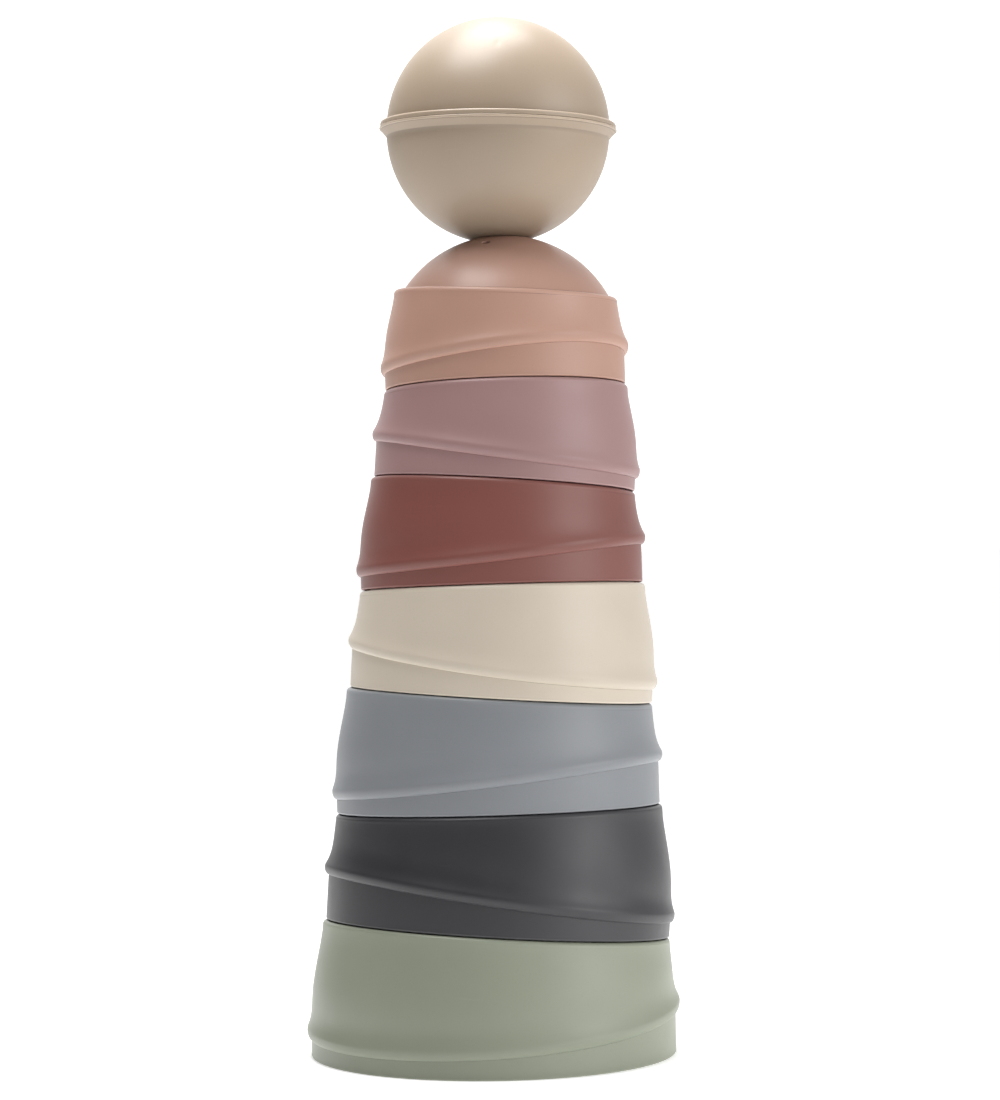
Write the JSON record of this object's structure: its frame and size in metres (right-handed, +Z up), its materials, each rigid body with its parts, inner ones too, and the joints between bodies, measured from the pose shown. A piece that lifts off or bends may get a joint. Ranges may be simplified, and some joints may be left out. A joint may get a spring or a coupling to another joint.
{
  "type": "stacking ring toy",
  "caption": "Tapering stacking tower of slanted plastic rings with overhanging lips, a domed ring at the top and a seamed ball resting in the dome's dish.",
  "frame": {"origin": "middle of the base ring's foot, on the surface the toy stands on", "axes": "+Z up the tower, +X to the right and +Y away as seen from the front of the tower"},
  "size_m": [0.1174, 0.1174, 0.3274],
  "materials": {
    "sage_plastic": "satin moulded plastic, sage",
    "charcoal_plastic": "satin moulded plastic, charcoal",
    "blue_grey_plastic": "satin moulded plastic, blue grey",
    "cream_plastic": "satin moulded plastic, cream",
    "brick_plastic": "satin moulded plastic, brick",
    "mauve_plastic": "satin moulded plastic, mauve",
    "peach_plastic": "satin moulded plastic, peach",
    "sand_plastic": "satin moulded plastic, sand"
  },
  "bodies": {
    "base": {"base_ring": "sage_plastic"},
    "second_tier": {"second_ring": "charcoal_plastic"},
    "third_tier": {"third_ring": "blue_grey_plastic"},
    "fourth_tier": {"fourth_ring": "cream_plastic"},
    "fifth_tier": {"fifth_ring": "brick_plastic"},
    "sixth_tier": {"sixth_ring": "mauve_plastic"},
    "dome_tier": {"dome_ring": "peach_plastic"},
    "ball": {"ball_lower_shell": "sand_plastic", "ball_upper_shell": "sand_plastic"}
  },
  "joints": [
    {"name": "lift_second_ring", "type": "slide", "parent": "base", "child": "second_tier", "axis": [0.0668, 0.056, 0.9962], "range_m": [0, 0.03]},
    {"name": "lift_third_ring", "type": "slide", "parent": "second_tier", "child": "third_tier", "axis": [-0.0191, 0.0409, 0.999], "range_m": [0, 0.03]},
    {"name": "lift_fourth_ring", "type": "slide", "parent": "third_tier", "child": "fourth_tier", "axis": [0.0665, 0.0243, 0.9975], "range_m": [0, 0.03]},
    {"name": "lift_fifth_ring", "type": "slide", "parent": "fourth_tier", "child": "fifth_tier", "axis": [-0.0173, 0.0482, 0.9987], "range_m": [0, 0.03]},
    {"name": "lift_sixth_ring", "type": "slide", "parent": "fifth_tier", "child": "sixth_tier", "axis": [0.0699, 0.0498, 0.9963], "range_m": [0, 0.03]},
    {"name": "lift_dome_ring", "type": "slide", "parent": "sixth_tier", "child": "dome_tier", "axis": [-0.0158, 0.0664, 0.9977], "range_m": [0, 0.03]},
    {"name": "lift_ball", "type": "slide", "parent": "dome_tier", "child": "ball", "axis": [-0.0158, 0.0664, 0.9977], "range_m": [0, 0.05]}
  ]
}
